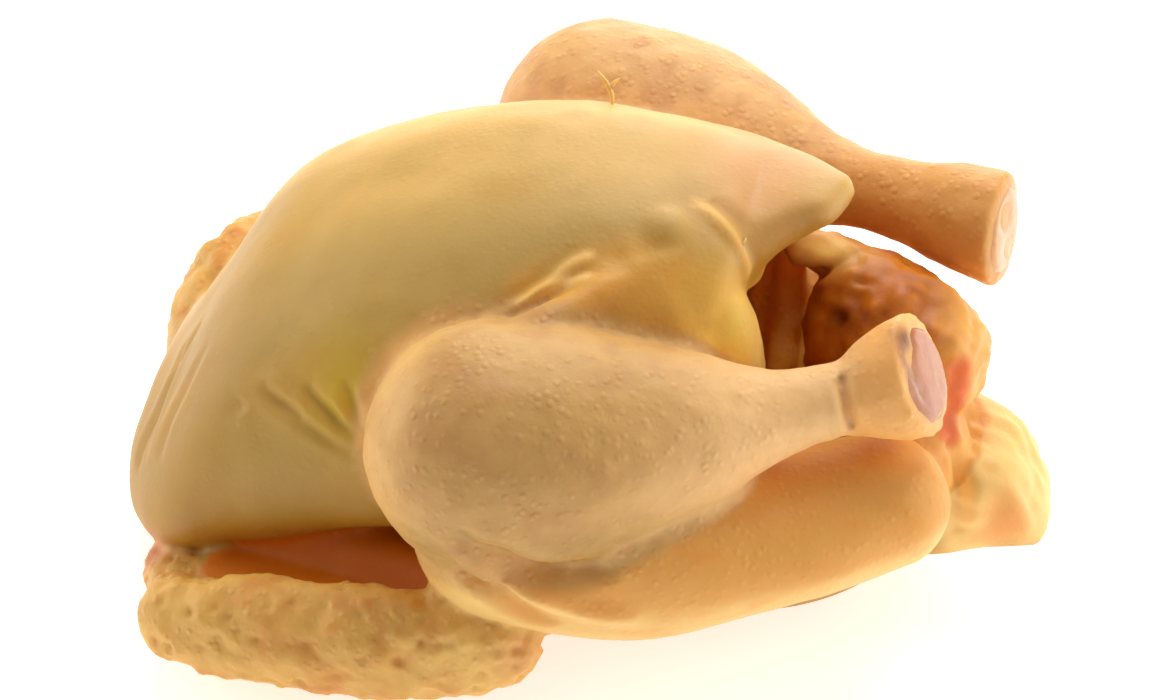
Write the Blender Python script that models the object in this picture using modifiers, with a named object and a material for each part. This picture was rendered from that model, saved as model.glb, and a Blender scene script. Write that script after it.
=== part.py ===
"""A whole raw chicken, plucked and drawn, lying on its back with its legs loose and its wings folded.

The bird is one solid. Each mass of flesh is a UV sphere poured along a bone, the masses are fused by a
voxel remesh, the body cavity is carved through the vent, and the underside is cut flat where it rests.
The head end is at -X, the tail at +X, the breast is up, and the bird's right side is at -Y.
"""

import math
from collections import namedtuple

import bmesh
import bpy
import numpy as np
from mathutils import Matrix

# The whole bird, from the foremost point of the wings to the end of the tail. Every length in the tables
# below is in 248ths of it, measured from the middle of the bird and up from the table.
BIRD_LENGTH = 0.223
UNIT = BIRD_LENGTH / 248

# Fusing: the voxel that joins the masses, the rounding of the creases, the faces that are kept, and how
# deep the weight of the bird presses its back flat.
VOXEL = 1.7
CREASE_ROUNDING = 3
TARGET_TRIANGLES = 11500
REST_DEPTH = 1.2

# A limb is a mass of flesh along a bone. Each section gives a share of the way along it, and the half
# width and half height there. The bone bows off the straight line by bow at its middle. caps is the length
# of each round end as a share of its radius. slant leans the far end across and upwards, by shares of its
# half width and half height, as a sloping cut does.
Limb = namedtuple(
    "Limb",
    "start end sections bow caps squareness slant",
    defaults=((0, 0, 0), (1, 1), 2, (0, 0)),
)

# The bird's right leg and wing, nearest at -Y.
RIGHT_DRUMSTICK = Limb(
    start=(-20, -68, 78),
    end=(76, -35, 89),
    sections=((0, 31, 31), (0.18, 30, 30), (0.37, 24, 24.5), (0.54, 18, 18.8), (0.67, 11.8, 12.4),
              (0.77, 9.1, 9.6), (0.87, 8.8, 8.8), (1, 9, 9)),
    bow=(0, -4, -2.2),
    caps=(1, 0.15),
)
RIGHT_HOCK = Limb(
    start=(63, -40.5, 85),
    end=(80.5, -33.5, 90),
    sections=((0, 8.5, 9.5), (0.35, 11.5, 13), (0.65, 13.5, 15.2), (1, 14.5, 16.5)),
    caps=(0.6, 0.12),
    slant=(-0.42, -0.2),
)
RIGHT_THIGH = Limb(
    start=(-15, -68, 53),
    end=(73, -38, 52),
    sections=((0, 24, 25), (0.3, 26, 25), (0.62, 24, 19), (0.88, 20, 17), (1, 18, 17)),
    bow=(0, -4, -4),
)
RIGHT_FOREARM = Limb(
    start=(-14, -85, 28),
    end=(-100, -82, 19),
    sections=((0, 9, 11), (0.12, 11, 13.5), (0.3, 11.5, 15.5), (0.6, 11.5, 15), (0.85, 11, 13.5), (1, 9, 11)),
    bow=(0, -3, 1),
)
RIGHT_WING_TIP = Limb(
    start=(-100, -74, 14),
    end=(-100, -26, 9),
    sections=((0, 9, 10), (0.5, 12, 6), (1, 9, 5)),
    bow=(-5, 0, 0),
)
UPPER_WING = Limb(
    start=(-92, -45, 27),
    end=(-24, -68, 25),
    sections=((0, 12, 12), (0.5, 11, 11), (1, 11, 12)),
)
WING_WEB = Limb(
    start=(-34, -76, 25),
    end=(-92, -64, 20),
    sections=((0, 14, 5), (0.5, 16, 6), (1, 12, 5)),
)

# The left leg is splayed a little more, and the left wing is pushed forward past the breast.
LEFT_DRUMSTICK = Limb(
    start=(-19.5, 71, 77),
    end=(92, 32.3, 89),
    sections=((0, 30.5, 30.5), (0.15, 30, 30), (0.3, 26, 27), (0.43, 19.5, 20.5), (0.54, 13, 13.8),
              (0.65, 10, 10.8), (0.77, 10.6, 11.2), (0.88, 13, 13.8), (1, 14.3, 15.2)),
    bow=(0, 3, 0),
    caps=(1, 0.15),
    slant=(0.25, 0),
)
LEFT_THIGH = Limb(
    start=(-16, 67, 53),
    end=(70, 32, 48),
    sections=((0, 24, 25), (0.3, 25, 24), (0.62, 21, 19), (0.88, 19, 18), (1, 17, 17)),
    bow=(0, 2, -4),
)
LEFT_FOREARM = Limb(
    start=(-20, 84, 28),
    end=(-107, 70, 26),
    sections=RIGHT_FOREARM.sections,
    bow=(0, 4, 0),
)
LEFT_WING_TIP = Limb(
    start=(-104, 60, 33),
    end=(-125, 18, 14),
    sections=((0, 11, 14), (0.4, 12, 16), (0.75, 11, 12), (1, 8, 8)),
    bow=(-5, 1, 6),
)

# The breast from the neck end to the vent: place along the bird, half width, top, underside, height of
# the widest line, and how full the upper and the lower side are (1 is an ellipse, less is fuller).
BREAST = (
    (-131, 1, 20, 17, 18, 1, 1),
    (-128, 30, 32, 9, 19, 1, 0.9),
    (-120, 48, 45, 6, 22, 1, 0.9),
    (-112, 57, 58.5, 6, 27, 1, 0.9),
    (-104, 61.5, 73.5, 7, 32, 1, 0.9),
    (-95, 64, 86, 10, 38, 1, 0.9),
    (-75, 67.5, 100, 21, 45, 1, 0.9),
    (-48, 68, 112, 33, 51, 1, 0.9),
    (-20, 64, 120, 34, 56, 1, 0.9),
    (4, 54, 122, 30, 66, 1, 0.8),
    (22, 42, 120, 66, 86, 1, 0.9),
    (32, 29, 117, 90, 101, 1, 1),
    (38, 1, 108, 102, 105, 1, 1),
)
# The back and the pelvis, which carry the bird.
BACK = (
    (-112, 1, 26, 24, 25, 1, 1),
    (-108, 26, 40, 8, 24, 1, 0.7),
    (-90, 48, 52, 2, 26, 1, 0.6),
    (-50, 56, 60, 0, 30, 1, 0.6),
    (0, 54, 62, 0, 32, 1, 0.6),
    (50, 46, 60, 4, 34, 1, 0.6),
    (76, 36, 58, 17, 38, 1, 0.8),
    (88, 24, 54, 26, 40, 1, 0.9),
    (92, 1, 42, 40, 41, 1, 1),
)
BREAST_TIP = Limb(
    start=(6, 0, 94),
    end=(51, 0, 115),
    sections=((0, 40, 28), (0.4, 32, 16), (0.7, 22, 8.5), (1, 10, 5)),
    bow=(0, 4, 0),
    caps=(1, 0.75),
    squareness=2.7,
)
TAIL = Limb(
    start=(80, 0, 34),
    end=(106, 0, 33),
    sections=((0, 26, 16), (0.5, 21.5, 14.5), (1, 16, 12.5)),
    caps=(1, 0.35),
    squareness=3.4,
    slant=(0, -0.5),
)

# The flank's skin between breast and knee, the lip where it ends at the vent, and the fold that the
# right knee pulls up in it.
FLANK = Limb(
    start=(-24, -40, 72),
    end=(16, -24, 86),
    sections=((0, 23, 30), (0.5, 23, 30), (1, 20, 28)),
    caps=(1, 0.75),
)
FLANK_LIP = Limb(
    start=(14, -20, 112),
    end=(33, -33, 60),
    sections=((0, 8, 8), (0.5, 9.5, 9.5), (1, 10, 10)),
    bow=(5, 0, 6),
)
LEFT_FLANK_LIP = Limb(
    start=(14, 20, 106),
    end=(33, 33, 60),
    sections=FLANK_LIP.sections,
    bow=FLANK_LIP.bow,
)
RIGHT_FLANK_FOLD = Limb(
    start=(-18, -57, 97),
    end=(14, -29, 109.5),
    sections=((0, 7.5, 7.5), (0.4, 5.5, 5.5), (0.75, 4, 4), (1, 2, 2)),
    bow=(0, 1, 2),
)

# The body cavity, from the vent towards the neck, and the fat behind the vent that half closes it.
CAVITY = Limb(
    start=(70, 0, 82),
    end=(-62, 0, 46),
    sections=((0, 22, 16), (0.2, 31, 24), (0.4, 38, 32), (0.65, 41, 35), (0.9, 35, 29), (1, 26, 21)),
    bow=(0, 0, -6),
)
VENT_FAT = Limb(
    start=(62, 11, 68),
    end=(78, 2, 65.5),
    sections=((0, 19, 22), (0.5, 20, 22), (1, 19, 20)),
    caps=(0.8, 0.75),
)
LEFT_VENT_FLAP = Limb(
    start=(44, 17, 87),
    end=(56, 17, 85),
    sections=((0, 6, 5), (0.5, 6, 5.5), (1, 5, 5)),
)
RIGHT_VENT_ROLL = Limb(
    start=(56, -34, 54),
    end=(80, -8, 48),
    sections=((0, 8, 8), (0.5, 11, 11), (1, 12, 12)),
    bow=(4, -4, 2),
)

# A fold is a line over the skin. The skin sinks along it by depth, over about its width to either side, and
# a negative depth raises a ridge.
Fold = namedtuple("Fold", "line width depth")
FOLDS = (
    # under the right knee, where drumstick and thigh fold together
    Fold(((-20, -98, 74), (-8, -93, 64), (8, -87.5, 59), (18, -84, 61)), 3.5, 2.6),
    Fold(((-23, -97, 70), (-8, -91, 55), (10, -88.5, 47), (24, -86, 45)), 3, -1.6),
    Fold(((-22, -94, 62), (-12, -91.5, 52), (2, -88.5, 41)), 3.2, 2.2),
    # the breast's skin, drawn towards the right knee
    Fold(((-82, -53.5, 75), (-76, -57.5, 74), (-69, -60.5, 73)), 2.5, 1.4),
    Fold(((-70, -56, 80), (-62, -61, 75), (-54, -64, 70)), 2.5, 1.5),
    # the root of the tail
    Fold(((87, -16, 58), (91, -20, 44), (91.5, -22, 30)), 3, 2.4),
)


def clear_scene():
    for obj in list(bpy.data.objects):
        bpy.data.objects.remove(obj)


def smooth_curve(places, values, wanted):
    """Values at the wanted places on a smooth curve through the given ones, with no waves between them."""
    places, values = np.asarray(places, float), np.asarray(values, float)
    step = np.diff(places)
    chord = np.diff(values) / step
    flatter = np.minimum(np.abs(np.append(chord[0], chord)), np.abs(np.append(chord, chord[-1])))
    slope = np.clip(np.gradient(values, places), -2 * flatter, 2 * flatter)
    k = np.clip(np.searchsorted(places, wanted, side="right") - 1, 0, len(step) - 1)
    s = (wanted - places[k]) / step[k]
    return (
        (2 * s**3 - 3 * s**2 + 1) * values[k]
        + (s**3 - 2 * s**2 + s) * step[k] * slope[k]
        + (3 * s**2 - 2 * s**3) * values[k + 1]
        + (s**3 - s**2) * step[k] * slope[k + 1]
    )


def sphere_grid(bm, around, along):
    """Adds a UV sphere. Returns its vertices, their share of the way from pole to pole, and their angle."""
    made = bmesh.ops.create_uvsphere(bm, u_segments=around, v_segments=along, radius=1)
    verts = made["verts"]
    ball = np.array([v.co for v in verts])
    share = np.arccos(np.clip(-ball[:, 2], -1, 1)) / math.pi
    return verts, share, np.arctan2(ball[:, 1], ball[:, 0])


def place(verts, points):
    for vert, point in zip(verts, points * UNIT):
        vert.co = point


def superellipse(angle, squareness):
    power = 2 / squareness
    c, s = np.cos(angle), np.sin(angle)
    return np.sign(c) * np.abs(c) ** power, np.sign(s) * np.abs(s) ** power


def pour_limb(bm, limb):
    """A sphere drawn out along the limb's bone: its polar fifths become the round ends."""
    verts, share, angle = sphere_grid(bm, around=40, along=36)
    start, end, bow = (np.array(p, float) for p in (limb.start, limb.end, limb.bow))
    polar = 0.2
    before = np.clip(1 - share / polar, 0, 1) * math.pi / 2
    after = np.clip(1 - (1 - share) / polar, 0, 1) * math.pi / 2
    along = np.clip((share - polar) / (1 - 2 * polar), 0, 1)

    centre = start + np.outer(along, end - start) + np.outer(4 * along * (1 - along), bow)
    tangent = (end - start) + np.outer(4 - 8 * along, bow)
    tangent /= np.linalg.norm(tangent, axis=1)[:, None]
    side = np.cross(tangent, (0, 0, 1))
    side /= np.linalg.norm(side, axis=1)[:, None]
    rise = np.cross(side, tangent)

    places, widths, heights = zip(*limb.sections)
    shrink = np.cos(before) * np.cos(after)
    half_width = smooth_curve(places, widths, along) * shrink
    half_height = smooth_curve(places, heights, along) * shrink
    across, up = superellipse(angle, limb.squareness)
    first_cap = limb.caps[0] * (widths[0] + heights[0]) / 2
    last_cap = limb.caps[1] * (widths[-1] + heights[-1]) / 2
    lean = limb.slant[0] * half_width * across + limb.slant[1] * half_height * up
    ahead = last_cap * np.sin(after) - first_cap * np.sin(before) + lean * np.clip(along * 4 - 3, 0, 1)
    place(verts, centre + tangent * ahead[:, None] + side * (half_width * across)[:, None]
          + rise * (half_height * up)[:, None])


def mirrored(limb):
    """The same limb on the bird's other side."""
    other_side = np.array((1, -1, 1))
    return limb._replace(
        start=limb.start * other_side,
        end=limb.end * other_side,
        bow=limb.bow * other_side,
        slant=(-limb.slant[0], limb.slant[1]),
    )


def pour_trunk(bm, stations):
    """A mass along X whose top, underside and widest line are given station by station."""
    verts, share, angle = sphere_grid(bm, around=64, along=56)
    columns = np.array(stations, float).T
    x = columns[0][0] + (columns[0][-1] - columns[0][0]) * (1 - np.cos(share * math.pi)) / 2
    half_width, top, under, middle, full_top, full_under = (
        smooth_curve(columns[0], column, x) for column in columns[1:]
    )
    c, s = np.cos(angle), np.sin(angle)
    y = half_width * np.sign(c) * np.abs(c) ** 0.85
    z = np.where(
        s > 0,
        middle + (top - middle) * np.abs(s) ** full_top,
        middle - (middle - under) * np.abs(s) ** full_under,
    )
    place(verts, np.stack([x, y, z], axis=1))


def pour_body(bm):
    pour_trunk(bm, BREAST)
    pour_trunk(bm, BACK)
    for limb in (BREAST_TIP, TAIL, FLANK, mirrored(FLANK), FLANK_LIP, LEFT_FLANK_LIP, RIGHT_FLANK_FOLD):
        pour_limb(bm, limb)


def pour_legs(bm):
    for limb in (RIGHT_DRUMSTICK, RIGHT_HOCK, RIGHT_THIGH, LEFT_DRUMSTICK, LEFT_THIGH):
        pour_limb(bm, limb)


def pour_wings(bm):
    for limb in (RIGHT_FOREARM, RIGHT_WING_TIP, LEFT_FOREARM, LEFT_WING_TIP):
        pour_limb(bm, limb)
    for limb in (UPPER_WING, WING_WEB):
        pour_limb(bm, limb)
        pour_limb(bm, mirrored(limb))


def pour_vent_fat(bm):
    for limb in (VENT_FAT, LEFT_VENT_FLAP, RIGHT_VENT_ROLL):
        pour_limb(bm, limb)


def pour_cavity(bm):
    pour_limb(bm, CAVITY)


def new_object(name, mesh, collection):
    obj = bpy.data.objects.new(name, mesh)
    collection.objects.link(obj)
    return obj


def poured(name, collection, *pours):
    """One object that holds all the masses of these pours, still loose in each other."""
    bm = bmesh.new()
    for pour in pours:
        pour(bm)
    bmesh.ops.recalc_face_normals(bm, faces=bm.faces)
    mesh = bpy.data.meshes.new(name)
    bm.to_mesh(mesh)
    bm.free()
    return new_object(name, mesh, collection)


def apply_modifiers(obj):
    """Makes the object's evaluated shape its own mesh."""
    graph = bpy.context.evaluated_depsgraph_get()
    mesh = bpy.data.meshes.new_from_object(obj.evaluated_get(graph))
    obj.modifiers.clear()
    obj.data = mesh


def add_remesh(obj):
    remesh = obj.modifiers.new("Fuse", "REMESH")
    remesh.mode = "VOXEL"
    remesh.voxel_size = VOXEL * UNIT


def add_boolean(obj, name, operation, other):
    boolean = obj.modifiers.new(name, "BOOLEAN")
    boolean.operation = operation
    boolean.solver = "MANIFOLD"
    boolean.object = other


def hide_helper(obj):
    obj.hide_render = True
    obj.display_type = "WIRE"


def join_into(obj, other):
    """Adds the other object's mesh to this one's, and removes the other."""
    bm = bmesh.new()
    bm.from_mesh(obj.data)
    bm.from_mesh(other.data)
    bm.to_mesh(obj.data)
    bm.free()
    bpy.data.objects.remove(other)


def raw_skin():
    material = bpy.data.materials.new("raw_skin")
    material.use_nodes = True
    shader = material.node_tree.nodes["Principled BSDF"]
    shader.inputs["Base Color"].default_value = (0.86, 0.60, 0.30, 1)
    shader.inputs["Roughness"].default_value = 0.45
    shader.inputs["Metallic"].default_value = 0
    return material


def fused_bird(parts, cutters):
    """The masses fused, hollowed through the vent, and half closed again by the fat behind the vent."""
    bird = poured("whole_chicken", parts, pour_body, pour_legs, pour_wings)
    add_remesh(bird)
    cavity = poured("cavity", cutters, pour_cavity)
    hide_helper(cavity)
    add_boolean(bird, "Body cavity", "DIFFERENCE", cavity)
    apply_modifiers(bird)
    join_into(bird, poured("vent_fat", parts, pour_vent_fat))
    add_remesh(bird)
    smooth = bird.modifiers.new("Round creases", "SMOOTH")
    smooth.factor = 0.5
    smooth.iterations = CREASE_ROUNDING
    apply_modifiers(bird)
    return bird


def from_line(points, line):
    """Distance of each point from a line of straight stretches, and its share of the way along it."""
    nearest = np.full(len(points), np.inf)
    share = np.zeros(len(points))
    for k, (start, end) in enumerate(zip(line[:-1], line[1:])):
        leg = end - start
        t = np.clip((points - start) @ leg / (leg @ leg), 0, 1)
        distance = np.linalg.norm(points - start - t[:, None] * leg, axis=1)
        closer = distance < nearest
        nearest = np.where(closer, distance, nearest)
        share = np.where(closer, (k + t) / (len(line) - 1), share)
    return nearest, share


def rounded_line(places, count=24):
    """A smooth line of count points through a few places."""
    places = np.array(places, float)
    steps = np.linalg.norm(np.diff(places, axis=0), axis=1)
    travelled = np.append(0, np.cumsum(steps))
    wanted = np.linspace(0, travelled[-1], count)
    return np.stack([smooth_curve(travelled, column, wanted) for column in places.T], axis=1)


def fold_skin(bird):
    """Moves the skin in or out along its own normals, by a bell curve over each fold that fades at its ends."""
    points = np.array([vert.co for vert in bird.data.vertices]) / UNIT
    normals = np.array([vert.normal for vert in bird.data.vertices])
    relief = np.zeros(len(points))
    for fold in FOLDS:
        distance, share = from_line(points, rounded_line(fold.line))
        fade = np.sqrt(np.clip(4 * share * (1 - share), 0, 1))
        relief -= fold.depth * fade * np.exp(-((distance / fold.width) ** 2))
    for vert, point in zip(bird.data.vertices, (points + normals * relief[:, None]) * UNIT):
        vert.co = point


def thin_out(bird):
    decimate = bird.modifiers.new("Fewer faces", "DECIMATE")
    decimate.ratio = TARGET_TRIANGLES / (2 * len(bird.data.polygons))
    apply_modifiers(bird)


def settle(bird):
    """Moves the mesh so that the table's surface is at zero and the footprint is centred."""
    corners = np.array([vert.co for vert in bird.data.vertices])
    low, high = corners.min(axis=0), corners.max(axis=0)
    middle = (low + high) / 2
    bird.data.transform(Matrix.Translation((-middle[0], -middle[1], -low[2] - REST_DEPTH * UNIT)))


def cut_flat_underside(bird, cutters):
    bm = bmesh.new()
    bmesh.ops.create_cube(bm, size=2 * BIRD_LENGTH)
    bmesh.ops.translate(bm, vec=(0, 0, -BIRD_LENGTH), verts=bm.verts)
    mesh = bpy.data.meshes.new("table")
    bm.to_mesh(mesh)
    bm.free()
    table = new_object("table", mesh, cutters)
    hide_helper(table)
    add_boolean(bird, "Flat underside", "DIFFERENCE", table)


def build():
    clear_scene()
    collections = bpy.context.scene.collection.children
    parts = bpy.data.collections.new("whole_chicken_parts")
    cutters = bpy.data.collections.new("cutters")
    collections.link(parts)
    collections.link(cutters)
    bird = fused_bird(parts, cutters)
    fold_skin(bird)
    thin_out(bird)
    settle(bird)
    cut_flat_underside(bird, cutters)
    bird.data.materials.append(raw_skin())
    bird.data.shade_smooth()


build()
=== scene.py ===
# %% [markdown]
# # A whole raw chicken
# A plucked and drawn chicken lies on its back with its legs loose and its wings folded under. Its looks are
# all in one wet, thin, half clear skin over flesh and fat, so this lesson makes that skin as a single closed
# surface, works its folds and follicles into the mesh, and then gives it a material that reads where on the
# bird it is. The few places where there is no skin, such as the cut hocks, are pieces of their own.
#
# The first cell loads the plain solid that the looks are fitted to.

# %% Load the frame
from collections import namedtuple

import bpy
import numpy as np
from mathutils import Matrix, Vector


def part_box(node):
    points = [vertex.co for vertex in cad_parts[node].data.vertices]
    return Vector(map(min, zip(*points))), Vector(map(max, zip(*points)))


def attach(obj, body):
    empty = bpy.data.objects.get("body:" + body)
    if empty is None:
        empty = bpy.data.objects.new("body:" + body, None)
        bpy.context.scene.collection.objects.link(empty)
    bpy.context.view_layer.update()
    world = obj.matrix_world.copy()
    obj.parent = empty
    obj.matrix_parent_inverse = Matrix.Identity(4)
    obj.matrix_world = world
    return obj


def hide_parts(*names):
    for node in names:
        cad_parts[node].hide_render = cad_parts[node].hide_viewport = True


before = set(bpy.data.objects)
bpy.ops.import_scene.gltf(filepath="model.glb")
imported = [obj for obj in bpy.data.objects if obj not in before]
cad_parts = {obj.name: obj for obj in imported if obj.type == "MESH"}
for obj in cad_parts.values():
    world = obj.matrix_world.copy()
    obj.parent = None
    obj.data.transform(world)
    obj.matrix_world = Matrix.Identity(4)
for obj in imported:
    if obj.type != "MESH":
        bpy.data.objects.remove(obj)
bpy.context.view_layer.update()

NODE = "whole_chicken"
NODE_LOW, NODE_HIGH = (np.array(corner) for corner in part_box(NODE))
print("solid, mm:", np.round((NODE_HIGH - NODE_LOW) * 1000, 1))

# %% [markdown]
# ## Measures
# A bird's shape is easiest to compare with the real one in shares of its length. So every place below is in
# 248ths of the distance from the foremost wing to the tail, with the head end at -X, the breast up and the
# bird's right side at -Y. One number turns them into metres.

# %% One unit for the whole bird
BIRD_LENGTH = 0.223
UNIT = BIRD_LENGTH / 248


def smooth_curve(places, values, wanted):
    """Cubic pieces through the values, their slopes held to twice the flatter chord so that none overshoots."""
    places, values = np.asarray(places, float), np.asarray(values, float)
    step = np.diff(places)
    chord = np.diff(values) / step
    flatter = np.minimum(np.abs(np.append(chord[0], chord)), np.abs(np.append(chord, chord[-1])))
    slope = np.clip(np.gradient(values, places), -2 * flatter, 2 * flatter)
    k = np.clip(np.searchsorted(places, wanted, side="right") - 1, 0, len(step) - 1)
    s = (wanted - places[k]) / step[k]
    return (
        (2 * s**3 - 3 * s**2 + 1) * values[k]
        + (s**3 - 2 * s**2 + s) * step[k] * slope[k]
        + (3 * s**2 - 2 * s**3) * values[k + 1]
        + (s**3 - s**2) * step[k] * slope[k + 1]
    )


print("one unit is", round(UNIT * 1000, 3), "mm")

# %% [markdown]
# ## Masses of flesh
# Under the skin a bird is a handful of masses, each along a bone: thigh, drumstick, forearm, wing tip. Each
# could be sculpted by hand, but a formula keeps them tied to the bones: a centre line from joint to joint that
# bows a little, and round it a superellipse whose half width and half height run smoothly through a few named
# sections. The two parameters are the share of the way from pole to pole and the angle round.

# %% A limb as a function of share and angle
Limb = namedtuple(
    "Limb",
    "start end sections bow caps squareness slant",
    defaults=((0, 0, 0), (1, 1), 2, (0, 0)),
)
POLAR = 0.2


def limb_centre(limb, along):
    """start + along (end - start) + 4 along (1 - along) bow, and the direction in which it runs."""
    start, end, bow = (np.array(p, float) for p in (limb.start, limb.end, limb.bow))
    centre = start + np.outer(along, end - start) + np.outer(4 * along * (1 - along), bow)
    tangent = (end - start) + np.outer(4 - 8 * along, bow)
    return centre, tangent / np.linalg.norm(tangent, axis=1)[:, None]


def limb_sides(tangent):
    """The level direction across the bone, tangent x Z, and the one that rises from it."""
    side = np.cross(tangent, (0, 0, 1))
    side /= np.linalg.norm(side, axis=1)[:, None]
    return side, np.cross(side, tangent)


def limb_size(limb, along):
    """Half width and half height through the sections."""
    places, widths, heights = zip(*limb.sections)
    return smooth_curve(places, widths, along), smooth_curve(places, heights, along)


def limb_surface(limb):
    """P = centre + a tangent + w cos(v) side + h sin(v) rise. In each polar fifth w and h shrink by a cosine
    while a grows by a sine, which makes the round ends. A slant leans the far end by shares of w and h."""

    def surface(share, angle):
        before = np.clip(1 - share / POLAR, 0, 1) * np.pi / 2
        after = np.clip(1 - (1 - share) / POLAR, 0, 1) * np.pi / 2
        along = np.clip((share - POLAR) / (1 - 2 * POLAR), 0, 1)
        centre, tangent = limb_centre(limb, along)
        side, rise = limb_sides(tangent)
        half_width, half_height = limb_size(limb, along) * (np.cos(before) * np.cos(after))
        power = 2 / limb.squareness
        across = np.sign(np.cos(angle)) * np.abs(np.cos(angle)) ** power
        up = np.sign(np.sin(angle)) * np.abs(np.sin(angle)) ** power
        first_cap, last_cap = (
            cap * (section[1] + section[2]) / 2
            for cap, section in zip(limb.caps, (limb.sections[0], limb.sections[-1]))
        )
        lean = limb.slant[0] * half_width * across + limb.slant[1] * half_height * up
        ahead = last_cap * np.sin(after) - first_cap * np.sin(before) + lean * np.clip(along * 4 - 3, 0, 1)
        return (centre + tangent * ahead[:, None] + side * (half_width * across)[:, None]
                + rise * (half_height * up)[:, None])

    return surface


def mirrored(limb):
    """The same limb on the bird's other side."""
    other_side = np.array((1, -1, 1))
    return limb._replace(
        start=limb.start * other_side,
        end=limb.end * other_side,
        bow=limb.bow * other_side,
        slant=(-limb.slant[0], limb.slant[1]),
    )


# %% [markdown]
# The trunk has no bone to follow. Its surface goes station by station along the bird instead: each station
# gives the half width, the top, the underside and the height of the widest line, and powers of the sine make
# each side fuller or leaner than an ellipse.

# %% The trunk as a function of share and angle
FLAT_SIDE = 0.85


def trunk_surface(stations):
    """x runs from end to end on a cosine, y = w |cos v|^0.85, z = middle +- height |sin v|^fullness."""
    columns = np.array(stations, float).T

    def surface(share, angle):
        x = columns[0][0] + (columns[0][-1] - columns[0][0]) * (1 - np.cos(share * np.pi)) / 2
        half_width, top, under, middle, full_top, full_under = (
            smooth_curve(columns[0], column, x) for column in columns[1:]
        )
        c, s = np.cos(angle), np.sin(angle)
        y = half_width * np.sign(c) * np.abs(c) ** FLAT_SIDE
        above = middle + (top - middle) * np.abs(s) ** full_top
        below = middle - (middle - under) * np.abs(s) ** full_under
        return np.stack([x, y, np.where(s > 0, above, below)], axis=1)

    return surface


# %% [markdown]
# ## The bird's own numbers
# These are the bones and stations of this bird. A drumstick's sections say it all: a round knee of flesh 62
# parts across, a shank of 18 at its thinnest and a knuckle of 33 at the hock.

# %% Legs
RIGHT_DRUMSTICK = Limb(
    start=(-20, -68, 78),
    end=(76, -35, 89),
    sections=((0, 31, 31), (0.18, 30, 30), (0.37, 24, 24.5), (0.54, 18, 18.8), (0.67, 11.8, 12.4),
              (0.77, 9.1, 9.6), (0.87, 8.8, 8.8), (1, 9, 9)),
    bow=(0, -4, -2.2),
    caps=(1, 0.15),
)
RIGHT_HOCK = Limb(
    start=(63, -40.5, 85),
    end=(80.5, -33.5, 90),
    sections=((0, 8.5, 9.5), (0.35, 11.5, 13), (0.65, 13.5, 15.2), (1, 14.5, 16.5)),
    caps=(0.6, 0.12),
    slant=(-0.42, -0.2),
)
RIGHT_THIGH = Limb(
    start=(-15, -68, 53),
    end=(73, -38, 52),
    sections=((0, 24, 25), (0.3, 26, 25), (0.62, 24, 19), (0.88, 20, 17), (1, 18, 17)),
    bow=(0, -4, -4),
)
LEFT_DRUMSTICK = Limb(
    start=(-19.5, 71, 77),
    end=(92, 32.3, 89),
    sections=((0, 30.5, 30.5), (0.15, 30, 30), (0.3, 26, 27), (0.43, 19.5, 20.5), (0.54, 13, 13.8),
              (0.65, 10, 10.8), (0.77, 10.6, 11.2), (0.88, 13, 13.8), (1, 14.3, 15.2)),
    bow=(0, 3, 0),
    caps=(1, 0.15),
    slant=(0.25, 0),
)
LEFT_THIGH = Limb(
    start=(-16, 67, 53),
    end=(70, 32, 48),
    sections=((0, 24, 25), (0.3, 25, 24), (0.62, 21, 19), (0.88, 19, 18), (1, 17, 17)),
    bow=(0, 2, -4),
)
DRUMSTICKS = (RIGHT_DRUMSTICK, RIGHT_HOCK, LEFT_DRUMSTICK)
THIGHS = (RIGHT_THIGH, LEFT_THIGH)

# %% Wings
RIGHT_FOREARM = Limb(
    start=(-14, -85, 28),
    end=(-100, -82, 19),
    sections=((0, 9, 11), (0.12, 11, 13.5), (0.3, 11.5, 15.5), (0.6, 11.5, 15), (0.85, 11, 13.5), (1, 9, 11)),
    bow=(0, -3, 1),
)
RIGHT_WING_TIP = Limb(
    start=(-100, -74, 14),
    end=(-100, -26, 9),
    sections=((0, 9, 10), (0.5, 12, 6), (1, 9, 5)),
    bow=(-5, 0, 0),
)
LEFT_FOREARM = Limb(
    start=(-20, 84, 28),
    end=(-107, 70, 26),
    sections=RIGHT_FOREARM.sections,
    bow=(0, 4, 0),
)
LEFT_WING_TIP = Limb(
    start=(-104, 60, 33),
    end=(-125, 18, 14),
    sections=((0, 11, 14), (0.4, 12, 16), (0.75, 11, 12), (1, 8, 8)),
    bow=(-5, 1, 6),
)
UPPER_WING = Limb(
    start=(-92, -45, 27),
    end=(-24, -68, 25),
    sections=((0, 12, 12), (0.5, 11, 11), (1, 11, 12)),
)
WING_WEB = Limb(
    start=(-34, -76, 25),
    end=(-92, -64, 20),
    sections=((0, 14, 5), (0.5, 16, 6), (1, 12, 5)),
)
WINGS = (RIGHT_FOREARM, RIGHT_WING_TIP, LEFT_FOREARM, LEFT_WING_TIP)
WING_ROOTS = (UPPER_WING, mirrored(UPPER_WING), WING_WEB, mirrored(WING_WEB))

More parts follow.
